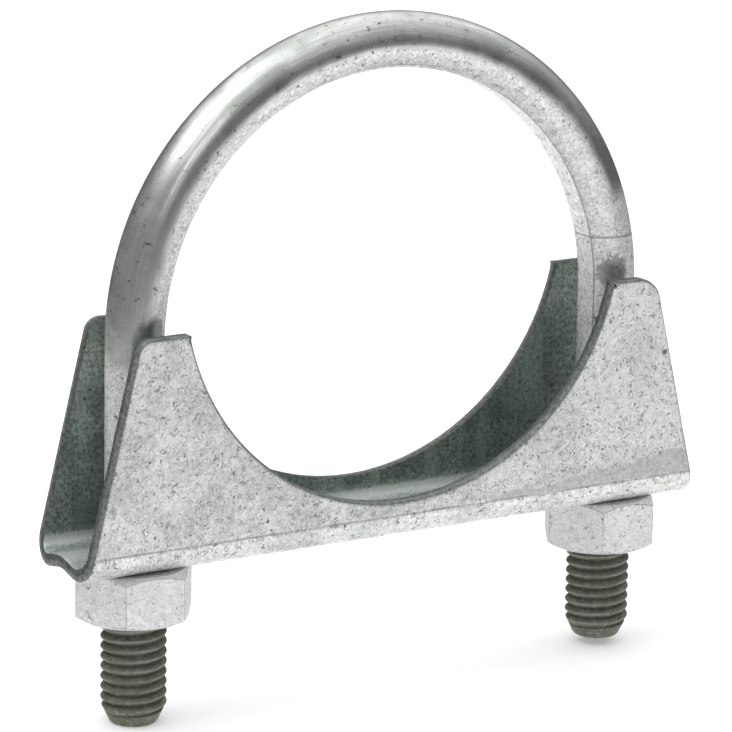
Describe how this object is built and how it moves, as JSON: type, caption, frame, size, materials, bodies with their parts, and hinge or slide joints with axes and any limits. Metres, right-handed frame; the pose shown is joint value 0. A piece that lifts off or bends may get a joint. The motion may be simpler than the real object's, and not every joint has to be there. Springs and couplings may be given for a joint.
{
  "type": "u-bolt",
  "caption": "U-bolt pipe clamp: bent round rod with threaded legs, a pressed channel saddle that slides on them, and hexagon nuts that draw it up.",
  "frame": {"origin": "centre of the bend, on the axis of the pipe that it grips", "axes": "+X towards the right leg, +Y along the pipe from the front flange to the rear one, +Z towards the crown of the bend"},
  "size_m": [0.0856, 0.0142, 0.083],
  "materials": {
    "zinc_plated_rod": "bright zinc plate on drawn and bent rod, duller in the rolled threads",
    "zinc_plated_sheet": "mottled zinc plate on pressed sheet, with darker sheared edges",
    "zinc_plated_nut": "satin zinc plate on a cold-formed nut"
  },
  "bodies": {
    "u_bolt": {"u_bolt": "zinc_plated_rod"},
    "saddle": {"saddle": "zinc_plated_sheet"},
    "nut_left": {"nut_left": "zinc_plated_nut"},
    "nut_right": {"nut_right": "zinc_plated_nut"}
  },
  "joints": [
    {"name": "saddle_slide", "type": "slide", "parent": "u_bolt", "child": "saddle", "axis": [0, 0, 1], "range_m": [-0.011, 0.002]},
    {"name": "nut_left_spin", "type": "hinge", "parent": "saddle", "child": "nut_left", "pos_m": [-0.03305, 0, -0.03], "axis": [0, 0, 1], "range_deg": [-3170, 577]},
    {"name": "nut_right_spin", "type": "hinge", "parent": "saddle", "child": "nut_right", "pos_m": [0.03305, 0, -0.03], "axis": [0, 0, 1], "range_deg": [-3170, 577]}
  ],
  "couplings": [
    {"joint": "nut_left_spin", "follows": "saddle_slide", "rad_per_m": 5026.5},
    {"joint": "nut_right_spin", "follows": "saddle_slide", "rad_per_m": 5026.5}
  ]
}
